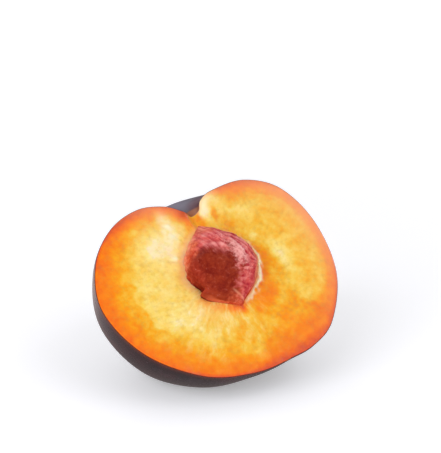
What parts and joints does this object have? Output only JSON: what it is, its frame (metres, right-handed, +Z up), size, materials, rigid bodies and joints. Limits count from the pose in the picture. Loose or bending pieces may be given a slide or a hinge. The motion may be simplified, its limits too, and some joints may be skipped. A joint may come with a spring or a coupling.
{
  "type": "half plum",
  "caption": "Half of a dark dessert plum cut along its suture, stone left in, leaning back on its skinned cheek with the cut face to the front and up.",
  "frame": {"origin": "centre of the small flat spot that the half rests on", "axes": "+Z up, the cut face looks towards -Y and up, its blossom end is low on the +X side and its stem hollow is at the top"},
  "size_m": [0.0633, 0.0552, 0.0487],
  "materials": {
    "fruit": "satin",
    "stone": "matte"
  },
  "bodies": {
    "root": {"half_fruit": "fruit", "stone": "stone"}
  },
  "joints": []
}
